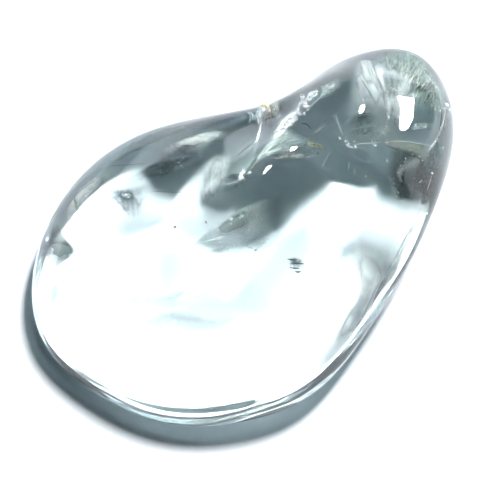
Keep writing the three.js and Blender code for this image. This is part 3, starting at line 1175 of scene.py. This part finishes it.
@dataclass(frozen=True)
class KnobCrack:
    """The second crack, across the knob: its pale wedge, its teal facet, its rusty strip and fine arcs."""

    # Besides the crack, some parts here are painted light on the knob and one is painted shade on its lower
    # side.
    parts: tuple[Part, ...] = (
        Veil("knob_wedge", (
            ((7.79, -0.66, 0.03), (7.87, -0.83, 0.2)),
            ((8.6, -1.08, 0.03), (8.5, -1.3, 0.7)),
            ((9.35, -1.61, 0.03), (8.9, -1.82, 1.0)),
            ((10.29, -2.14, 0.03), (9.5, -2.74, 1.2)),
        ), WEDGE, seed=14, ragged=0.0),
        Veil("knob_facet", (
            ((10.65, -1.86, 0.15), (10.15, -2.22, 0.1), (9.5, -2.5, 0.1), (9.08, -2.74, 0.1)),
            ((11.02, -2.16, 0.4), (10.66, -2.47, 0.5), (10.19, -2.77, 0.5), (9.74, -2.95, 0.4)),
        ), TEAL, seed=16, ripple=0.01, ripples=1.0, ragged=0.05),
        Veil("knob_strip", (
            level(0.2, (8.86, -2.87), (8.64, -3.47), (8.15, -4.11)),
            level(0.6, (10.2, -2.99), (9.42, -3.57), (8.47, -4.13)),
        ), RUSTY, seed=17, ragged=0.1),
        Veil("knob_lens", (
            level(0.3, (6.53, 1.4), (7.12, 1.5), (7.63, 1.38), (8.51, 0.89)),
            ((6.51, 1.1, 0.7), (7.01, 0.9, 0.8), (7.53, 0.66, 0.8), (8.27, 0.5, 0.7)),
        ), SMOKY, seed=18, ripple=0.03, ragged=0.1),
        Veil("knob_pale", (
            level(0.1, (6.35, 0.86), (7.14, 0.64), (7.85, 0.28)),
            level(0.3, (6.3, 0.55), (6.97, 0.26), (7.56, 0.06)),
        ), FROSTED, seed=20),
        Veil("knob_wisp", (
            level(0.2, (9.56, -0.47), (10.29, -0.79), (10.95, -1.04)),
            level(0.4, (9.27, -0.86), (10, -1.15), (10.79, -1.42)),
        ), FROSTED, seed=21, ripples=3.0, ragged=0.3),
        # painted light: a pale fan standing for a bright patch of light near the knob's top
        Veil("knob_light_fan", (
            level(0.1, (9.62, 4.66), (10.08, 4.51), (10.35, 4.03)),
            level(0.4, (8.94, 3.42), (9.36, 2.96), (9.8, 2.53)),
            level(0.6, (8.62, 2.42), (9.06, 1.93), (9.53, 1.5)),
        ), SNOWY, seed=22, ripple=0.03, ragged=0.3),
        Veil("knob_cloud", (
            level(0.3, (10.14, 3.26), (10.69, 2.76), (10.91, 1.9)),
            level(0.6, (9.45, 2.26), (9.98, 1.72), (10.3, 1.13)),
            level(0.8, (8.68, 1.63), (9.1, 1.03), (9.5, 0.54)),
        ), BANDED, seed=23, ripple=0.03, ragged=0.3),
        # painted light over the knob's middle
        Veil("knob_painted_light", (
            level(0.3, (8.44, 4.05), (9.95, 4.58), (11.14, 3.93), (11.84, 2.79), (12.01, 1.11)),
            (
                (7.54, 2.85, 0.7), (8.68, 2.67, 0.8), (9.82, 2.2, 0.8), (10.52, 1.16, 0.8),
                (10.95, 0.09, 0.7),
            ),
            (
                (6.87, 1.34, 0.9), (7.53, 0.67, 1.0), (8.2, -0.13, 1.0), (8.84, -0.87, 1.0),
                (9.61, -1.37, 0.9),
            ),
        ), LIGHT_HAZE, seed=24, ripple=0.03, ragged=0.3),
        # painted shade over the dark part of the knob's lower side
        Veil("knob_painted_shade", (
            level(0.3, (7.96, -0.79), (8.76, -1.44), (9.52, -2.15), (10.14, -2.94)),
            level(0.5, (6.42, -2.57), (6.91, -3.42), (7.51, -4), (8.33, -4.41)),
        ), PAINTED_SHADE, seed=25, ripple=0.0, ripples=1.0, ragged=0.05),
        # painted light along the knob's right rim
        Veil("knob_rim_glow", (
            level(0.08, (12.38, 0.39), (11.53, -1.01), (10.24, -2.15), (9.3, -3.36)),
            ((11.98, 0.19, 0.5), (11.5, -0.9, 0.6), (10.83, -1.86, 0.6), (10.22, -2.57, 0.5)),
        ), EDGE_LIGHT_AND_SHADE, seed=26, ripple=0.03),
        Crumbs(
            "knob_frost",
            level(0.05, (7.36, -0.27), (7.88, -0.2), (8.35, -0.21)),
            BROKEN, count=80, radius=0.045, spread=0.24, flatness=0.5, seed=4,
        ),
        Crumbs(
            "knob_crumbs",
            level(0, (6.09, 0.58), (6.2, 0.13), (5.99, 0.11)),
            BROKEN, count=14, radius=0.06, spread=0.15, flatness=0.5, seed=5,
        ),
        Splinters("knob_lines", (
            level(0.01, (6.11, 0.2), (6.49, 0.05), (7.17, -0.35), (7.78, -0.66)),
            level(0.01, (7.78, -0.66), (8.6, -1.09), (9.35, -1.61), (10.29, -2.15)),
            level(0.01, (9.56, -3.14), (9.26, -3.4), (8.88, -3.69)),
            level(0.02, (6.39, 1.34), (6.95, 1.48), (7.51, 1.39)),
        ), BRIGHT, width=0.035),
        Splinters("knob_dark_lines", (
            level(0.02, (7.2, 1.45), (7.59, 1.31), (8.14, 1)),
            level(0.2, (9.75, 3.12), (9.47, 1.95), (8.97, 1.04)),
            level(0.2, (8.9, 3.48), (8.75, 2.5), (8.63, 1.35)),
            level(0.1, (7.76, -0.8), (8.19, -1.3), (8.68, -2.01)),
            level(0.1, (8.9, -2.55), (8.96, -2.8), (8.87, -2.92)),
        ), DARK_FIBRE, width=0.06),
        Specks("knob_specks", (
            ((7.25, -0.55, 0), 0.07), ((5.83, 0.91, 0), 0.06), ((7.45, -1.5, 0), 0.05),
            ((9.58, -3.11, 0), 0.08), ((9.02, 0.91, 0), 0.07), ((7.13, 1.24, 0.1), 0.12),
            ((6.3, -2.15, 0), 0.05), ((8.66, -3.21, 0), 0.04), ((12.51, -0.31, 0), 0.12),
        ), BROKEN),
    )


@dataclass(frozen=True)
class MossyEdge:
    """The mossy, fibrous veils under the knob's far edge."""

    parts: tuple[Part, ...] = (
        Veil("moss_veil", (
            level(
                0.05, (10.68, 4.86), (11.87, 4.33), (12.94, 3.33), (12.82, 1.65), (12.23, 0.14),
                (11.34, -1.23),
            ),
            (
                (9.87, 3.36, 0.6), (10.4, 2.49, 0.7), (10.7, 1.43, 0.8), (10.9, 0.39, 0.8),
                (10.98, -0.4, 0.7), (10.82, -1.27, 0.6),
            ),
        ), MOSSY, seed=31, ripple=0.05, ripples=3.0, ragged=0.4, columns=120),
        Fibres(
            "moss_pale",
            level(0.1, (11.17, 4.17), (12.07, 3.46), (12.82, 2.5), (12.6, 1.05), (11.94, -0.54)),
            (
                (10.35, 2.89, 0.6), (10.81, 1.78, 0.6), (11.09, 0.65, 0.6), (11.24, -0.05, 0.6),
                (11.13, -0.85, 0.5),
            ),
            PALE_FIBRE, count=110, width=0.045, spread=0.3, seed=2,
        ),
        Fibres(
            "moss_dark",
            level(0.1, (10.65, 4.43), (11.46, 3.98), (12.48, 3.02), (12.89, 1.99), (12.42, 0.62)),
            level(0.6, (10.07, 3.45), (10.5, 2.62), (10.98, 1.25), (11.21, 0.46), (11.5, -0.25)),
            DARK_FIBRE, count=60, width=0.045, spread=0.25, seed=3,
        ),
        Crumbs(
            "moss_crumbs",
            level(0.1, (12.68, 2.01), (12.58, 1.19), (12.33, 0.22), (11.83, -0.66)),
            BROKEN, count=40, radius=0.07, spread=0.22, flatness=0.6, seed=6,
        ),
        Splinters("moss_sliver", (
            level(0.1, (11.93, -0.48), (11.5, -1.05), (11.02, -1.56)),
        ), DARK_FIBRE, width=0.16, height=0.05),
    )


@dataclass(frozen=True)
class LobeInclusions:
    """Painted shade in soft wisps, a leaf-shaped patch and bands by the rims, sheets of painted light, faint
    clouds, a striped dark grain and small specks in the lobe.
    """

    parts: tuple[Part, ...] = (
        # painted shade: the dark tip of the shaded band that runs from the knob across the lobe
        Veil("leaf_tip_shade", (
            level(1.2, (1.72, 0.59), (0.03, 0.91), (-1.54, 1.08), (-3.23, 1.1), (-4.71, 1.02)),
            level(1.2, (0.51, -1.48), (-0.81, -1.67), (-2.18, -1.54), (-3.6, -0.69), (-4.59, 0.41)),
        ), PAINTED_SHADE, seed=46, ripple=0.0, ripples=1.0, ragged=0.05),
        # painted light beside the shaded band
        Veil("leaf_gleam", (
            level(0.6, (-0.56, 4.92), (0.14, 4.25), (0.95, 3.63)),
            level(0.6, (-1.84, 3.48), (-1.27, 2.87), (-0.5, 2.62)),
            level(0.6, (-3.03, 2.1), (-2.63, 1.87), (-1.88, 1.77)),
        ), PAINTED_LIGHT, seed=52, ripple=0.03),
        # painted light inside the far edge
        Veil("lobe_gleam", (
            level(0.5, (-2.32, 7.09), (-0.96, 6.64), (0.32, 6.1), (1.6, 5.35)),
            level(0.5, (-2.81, 6.52), (-1.55, 5.74), (-0.18, 5.11), (1.18, 4.45)),
        ), PAINTED_LIGHT, seed=53, ripple=0.03, ragged=0.25),
        # painted shade along the far edge, where the rim shows the dark room
        Veil("far_shade_band", (
            level(
                0.05, (-5.77, 8.64), (-4.08, 8.66), (-2.23, 8.51), (-0.11, 7.49), (1.57, 6.42),
                (3.33, 5.72),
            ),
            (
                (-5.71, 7.92, 0.4), (-4.09, 7.74, 0.5), (-2.4, 7.39, 0.6), (-0.44, 6.55, 0.6),
                (1.25, 5.64, 0.6), (2.76, 5.09, 0.6),
            ),
        ), EDGE_SHADE, seed=47, ragged=0.15, columns=120),
        # painted light at the left end of the far edge
        Veil("left_gleam", (
            level(0.3, (-9.12, 7.43), (-8.02, 7.83), (-6.73, 8.1), (-5.33, 8.13)),
            level(0.6, (-9.14, 6.33), (-7.91, 6.74), (-6.56, 7.04), (-5.07, 7.1)),
        ), PAINTED_LIGHT, seed=63, ripple=0.0, ripples=1.0, ragged=0.05),
        # painted light inside the right rim
        Veil("right_gleam", (
            level(0.9, (3.71, -3.3), (2.89, -4.69), (2.32, -5.89), (0.8, -6.83), (-0.95, -7.73)),
            level(0.9, (4.85, -4.17), (3.98, -5.44), (2.89, -6.47), (1.27, -7.26), (-0.64, -8.09)),
            level(0.7, (5.72, -5.16), (4.69, -5.91), (3.33, -6.71), (1.71, -7.5), (-0.16, -8.26)),
        ), PAINTED_LIGHT, seed=55, ragged=0.1),
        Veil("lobe_pool", (
            level(0.6, (2.66, -3.27), (3.38, -3.32), (3.89, -3.88)),
            level(0.6, (2.14, -3.85), (2.82, -4.25), (3.5, -4.63)),
            level(0.6, (1.66, -4.57), (2.02, -5.03), (2.69, -5.03)),
        ), POOL, seed=48, ripple=0.03, ragged=0.1),
        # painted shade along the right rim
        Veil("right_shade_band", (
            level(
                0.1, (8.34, -4.13), (7.48, -4.75), (5.97, -5.63), (4.46, -6.4), (3.16, -7), (1.73, -7.67),
                (0.24, -8.19),
            ),
            level(
                0.6, (8.02, -3.94), (6.78, -4.65), (5.34, -5.46), (3.92, -6.26), (2.73, -6.92),
                (1.3, -7.52), (-0.03, -8.09),
            ),
        ), EDGE_LIGHT_AND_SHADE, seed=50, ripple=0.03, columns=120),
        # painted shade: a wedge on the right rim
        Veil("right_shade_wedge", (
            level(0.3, (4.17, -6.2), (3.33, -6.74), (2.75, -7.22), (2.19, -7.73)),
            level(0.2, (4.41, -6.41), (3.79, -6.75), (3.06, -7.03), (2.23, -7.39)),
        ), WEDGE_SHADE, seed=56, ripple=0.01, ripples=1.0, ragged=0.1),
        # painted shade along the front rim
        Veil("front_shade_band", (
            level(
                0.4, (-13.47, 0.79), (-13.33, -0.44), (-12.29, -2.57), (-10.93, -4.49), (-9.08, -6.16),
                (-6.87, -7.38), (-3.97, -8.55),
            ),
            level(
                0.1, (-13.42, 0.62), (-13.14, -0.54), (-12.21, -2.84), (-11.03, -4.79), (-9.28, -6.5),
                (-7.11, -7.75), (-3.99, -8.78),
            ),
        ), RIM_SHADE, seed=57, ripple=0.01, ripples=1.0, ragged=0.05, columns=140),
        # painted shade: a soft shaded wisp below the far edge
        Veil("lobe_shade_wisp", (
            level(2.0, (-2.86, 6.83), (-1.66, 6.52), (-0.69, 6.04), (0.72, 5.87)),
            level(2.0, (-2.91, 5.9), (-1.83, 5.41), (-0.78, 4.89), (0.24, 4.5)),
        ), SOFT_SHADE, seed=41, ripple=0.04, ripples=3.0, ragged=0.3),
        # painted shade: a soft shaded streak below the far edge
        Veil("lobe_shade_streak", (
            level(2.0, (-4.34, 6.44), (-2.81, 6.02), (-1.6, 5.53), (-0.11, 4.87)),
            level(2.0, (-4.7, 5.76), (-3.27, 5.3), (-1.96, 4.77), (-0.45, 4.15)),
        ), SOFT_SHADE, seed=42, ripple=0.04, ripples=3.0),
        # painted shade: soft shaded bands in the lobe's far part
        Veil("lobe_shade_bands", (
            level(1.5, (-6.73, 6.98), (-5.8, 6.5), (-4.93, 5.94), (-3.75, 5.31)),
            level(1.5, (-6.9, 6.27), (-6.37, 5.11), (-5.91, 4.18), (-4.51, 4.61)),
        ), SOFT_SHADE, seed=43, ripple=0.04, ripples=3.0),
        # painted shade: the leaf-shaped shaded patch near the left rim
        Veil("lobe_leaf_shade", (
            level(0.5, (-9.44, 7.27), (-9.65, 5.79), (-9.68, 4.69), (-10.81, 4.65), (-12.03, 4.32)),
            level(0.4, (-9.82, 7.65), (-10.71, 6.97), (-11.34, 6.41), (-11.96, 5.65), (-12.41, 4.93)),
        ), PAINTED_SHADE, seed=44, ripple=0.0, ripples=1.0, ragged=0.15),
        # painted shade: a soft grey streak beside the crack's tip
        Veil("lobe_shade_grey", (
            level(1.5, (-1.12, 2.7), (-0.27, 2.64), (0.49, 2.26)),
            level(1.5, (-1.19, 1.92), (-0.46, 1.83), (0.75, 1.76)),
        ), SOFT_SHADE, seed=45, ripple=0.04, ripples=3.0, ragged=0.12),
        Veil("lobe_smudges", (
            (
                (-11.95, 4.22, 1.0), (-9.87, 2.79, 1.5), (-7.43, 0.28, 1.5), (-4.76, -0.85, 1.5),
                (-1.63, -2.36, 1.5),
            ),
            (
                (-12.02, 3.08, 1.0), (-10.33, 1.5, 1.5), (-8.06, -0.87, 1.5), (-5.25, -1.97, 1.5),
                (-2.07, -3.25, 1.5),
            ),
        ), FAINT, seed=49, ripple=0.04, ripples=3.0, columns=100),
        Veil("cloud_left", (
            level(1.2, (-11.33, 4.42), (-10.09, 3.88), (-8.61, 3.28), (-7.43, 1.95)),
            level(1.2, (-11.96, 3.09), (-11.18, 1.84), (-9.59, 1.4), (-7.98, 0.72)),
        ), FAINT, seed=61, ripple=0.04, ripples=3.0, columns=100),
        Veil("cloud_low", (
            level(1.5, (-9.47, 0.31), (-7.39, -0.69), (-5.4, -2.39), (-3.15, -3.68)),
            level(1.5, (-9.98, -0.89), (-8.04, -2.08), (-6.11, -3.85), (-3.73, -4.95)),
        ), FAINT, seed=62, ripple=0.04, ripples=3.0, columns=100),
        Veil("lobe_grain", (
            level(0.5, (-0.17, -2.71), (0.23, -2.83), (0.57, -3.24)),
            level(0.5, (-0.39, -2.95), (-0.01, -3.19), (0.52, -3.52)),
            level(0.5, (-0.38, -3.35), (-0.19, -3.66), (0.19, -3.71)),
        ), GRAIN_DARK, seed=54, ripples=1.0),
        Splinters("lobe_strokes", (
            level(0.4, (-0.21, -2.77), (0.02, -2.95), (0.32, -3.11)),
            level(0.4, (-0.19, -3.05), (0.15, -3.26), (0.51, -3.55)),
            level(0.4, (-0.35, -3.2), (-0.1, -3.43), (0.14, -3.58)),
            level(0.4, (-0.19, -3.57), (-0.07, -3.7), (0.1, -3.75)),
        ), DARK_GRAIN, width=0.1, height=0.05),
        Splinters("lobe_slivers", (
            level(0.3, (-8.85, 7.88), (-9.56, 7.69), (-10.07, 7.45)),
            level(0.1, (-7.98, 7.76), (-8.15, 7.24), (-8.32, 6.74)),
        ), GREEN_GRAIN, width=0.2),
        Splinters("lobe_fine", (
            level(0.2, (-5.33, 8.04), (-4.51, 7.36), (-3.67, 6.69)),
            level(0.4, (-4.41, 4.97), (-3.58, 4.23), (-2.73, 3.49)),
            level(0.1, (-2.06, -0.65), (-1.79, -1.06), (-1.47, -1.5)),
            level(0.1, (6.16, -3.83), (5.99, -3.99), (5.82, -4.14)),
        ), DARK_FIBRE, width=0.03),
        Specks("lobe_specks", (
            ((-4.47, 2.28, 0.2), 0.07), ((-2.96, 1.32, 0.2), 0.06), ((-1.46, -1.47, 0.2), 0.07),
            ((-10.25, 4.66, 0.2), 0.05), ((-10.18, 4.13, 0.2), 0.05), ((-8.85, 2.76, 0.2), 0.05),
            ((-10.54, 2.95, 0.2), 0.04), ((-5.13, -1.07, 0.2), 0.04),
        ), DARK_GRAIN),
    )


@dataclass(frozen=True)
class SkinWear:
    """Fine scratches and pits on the polished skin."""

    parts: tuple[Part, ...] = (
        Splinters("skin_scratches", (
            level(0, (5.04, 0.71), (4.64, 0.51), (4.19, 0.25)),
            level(0, (6.34, 2.18), (6.17, 1.51), (6.02, 0.89)),
            level(0, (5.68, -0.37), (5.53, -0.5), (5.36, -0.67)),
            level(0, (5.68, -0.89), (5.61, -0.96), (5.53, -1.02)),
            level(0, (7.12, -2.15), (7.16, -2.29), (7.19, -2.46)),
            level(0, (-3.68, 0.5), (-3.15, 0.27), (-2.57, 0.02)),
        ), BRIGHT, width=0.025, height=0.02),
        Crumbs(
            "skin_dust",
            level(0, (-3.92, 0.56), (-2.34, -0.14), (-0.71, -0.36), (1.22, 0.1), (2.65, 0.61)),
            BROKEN, count=110, radius=0.022, spread=1.1, flatness=0.5, seed=7,
        ),
        Crumbs(
            "knob_dust",
            level(0, (5.3, 0.08), (6.45, -0.85), (7.45, -2.04), (8.17, -3.11)),
            BROKEN, count=60, radius=0.022, spread=1.0, flatness=0.5, seed=8,
        ),
        Specks("skin_pits", (
            ((-1.23, 0.3, 0), 0.06), ((-1.82, 0.53, 0), 0.06), ((-0.87, 0.43, 0), 0.05),
            ((-2.31, -0.52, 0), 0.05), ((6.05, -1.48, 0), 0.05), ((7.43, -1.54, 0), 0.05),
        ), BROKEN, flatness=0.3),
    )


@dataclass
class PolishedStone:
    """The stone itself: its polished skin and everything in it and on it."""

    form: StoneForm = field(default_factory=StoneForm)
    finish: ClearStoneFinish = field(default_factory=ClearStoneFinish)
    features: tuple[NotchCrack | KnobCrack | MossyEdge | LobeInclusions | SkinWear, ...] = (
        NotchCrack(), KnobCrack(), MossyEdge(), LobeInclusions(), SkinWear(),
    )

    def build(self) -> list[bpy.types.Object]:
        """Returns the stone's pieces, the skin first."""
        place = Frame(self.form)
        skin = new_mesh("stone_skin", place.place(place.vertices), place.faces)
        skin.data.materials.append(self.finish.material())
        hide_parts(STONE_NODE)
        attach(skin, BODY)
        return [skin] + [part.build(place) for feature in self.features for part in feature.parts]


@dataclass
class Studio:
    """The floor, the light, the dim surroundings and the camera, in millimetres and degrees."""

    azimuth: float = -33.5
    elevation: float = 75.0
    distance: float = 200.0
    frame_side: float = 500.0  # the photograph's longer side, in pixels
    pixels_per_mm: float = 16.9
    sensor: float = 36.0
    aim: tuple[float, float] = (-0.519, 0.477)
    light_azimuth: float = 35.3
    light_elevation: float = 60.7
    light_distance: float = 600.0
    light_spread: float = 8.0  # the light's width as the stone sees it
    light_rise: float = 17.0  # its height
    light_strength: float = 217.2
    room: Colour = (0.62, 0.86, 1.0)
    room_strength: float = 0.05
    floor_side: float = 2000.0
    floor_gap: float = 0.04
    floor_paint: Colour = (0.66, 0.7, 0.73)
    floor_roughness: float = 0.9

    def towards(self, azimuth: float, elevation: float) -> Vector:
        """Returns the direction at a bearing right of straight away from the camera, in degrees."""
        turn = math.radians(self.azimuth)
        right = Vector((math.cos(turn), math.sin(turn), 0))
        away = Vector((-math.sin(turn), math.cos(turn), 0))
        a, e = math.radians(azimuth), math.radians(elevation)
        return (away * math.cos(a) + right * math.sin(a)) * math.cos(e) + Vector((0, 0, math.sin(e)))

    def add_camera(self) -> None:
        """Adds the camera at the photograph's viewing angle."""
        data = bpy.data.cameras.new("camera")
        camera = bpy.data.objects.new("camera", data)
        bpy.context.scene.collection.objects.link(camera)
        back = self.towards(180.0, self.elevation)
        camera.location = Vector((*self.aim, 0)) * MM + back * self.distance * MM
        camera.rotation_mode = "QUATERNION"
        camera.rotation_quaternion = (-back).to_track_quat("-Z", "Y")
        data.sensor_width = self.sensor
        data.lens = self.sensor * self.distance / (self.frame_side / self.pixels_per_mm)
        data.clip_start = MM
        bpy.context.scene.camera = camera

    def add_light(self) -> None:
        """Adds the one light, high on the far right, taller than it is wide."""
        data = bpy.data.lights.new("key_light", "AREA")
        light = bpy.data.objects.new("key_light", data)
        bpy.context.scene.collection.objects.link(light)
        heading = self.towards(self.light_azimuth, self.light_elevation)
        data.shape = "ELLIPSE"
        data.size = 2 * self.light_distance * MM * math.tan(math.radians(self.light_spread / 2))
        data.size_y = 2 * self.light_distance * MM * math.tan(math.radians(self.light_rise / 2))
        data.energy = self.light_strength * math.pi * math.pi * data.size * data.size_y / 4
        light.location = heading * self.light_distance * MM
        light.rotation_mode = "QUATERNION"
        light.rotation_quaternion = heading.to_track_quat("Z", "Y")

    def add_room(self) -> None:
        """Adds the dim, slightly blue surroundings."""
        world = bpy.data.worlds.new("room")
        world.use_nodes = True
        background = world.node_tree.nodes["Background"]
        background.inputs["Color"].default_value = (*self.room, 1)
        background.inputs["Strength"].default_value = self.room_strength
        bpy.context.scene.world = world

    def add_floor(self) -> None:
        """Adds the plain pale floor, a hair below the stone so that the two never touch."""
        half = self.floor_side / 2 * MM
        z = -self.floor_gap * MM
        corners = [(-half, -half, z), (half, -half, z), (half, half, z), (-half, half, z)]
        floor = new_mesh("floor", np.array(corners), [(0, 1, 2, 3)], smooth=False)
        paint, _, shader = new_finish("floor_paint")
        shader.inputs["Base Color"].default_value = (*self.floor_paint, 1)
        shader.inputs["Roughness"].default_value = self.floor_roughness
        shader.inputs["Specular IOR Level"].default_value = 0.0
        floor.data.materials.append(paint)

    @staticmethod
    def sharpen_light() -> None:
        """Keeps the light that passes through the stone as sharp and bright as it falls there."""
        paths = bpy.context.scene.cycles
        paths.blur_glossy = 0.0
        paths.sample_clamp_indirect = 0.0

    def build(self) -> None:
        """Adds the whole studio, with plain display colours."""
        self.add_camera()
        self.add_light()
        self.add_room()
        self.add_floor()
        bpy.context.scene.view_settings.view_transform = "Standard"
        self.sharpen_light()


def main() -> None:
    """Builds the stone and the studio, in order, and reports each."""
    logging.basicConfig(level=logging.INFO, format="%(name)s: %(message)s")
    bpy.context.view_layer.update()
    Studio().build()
    log.info("studio ready")
    pieces = PolishedStone().build()
    log.info("%d pieces", len(pieces))


if __name__ == "__main__":
    main()
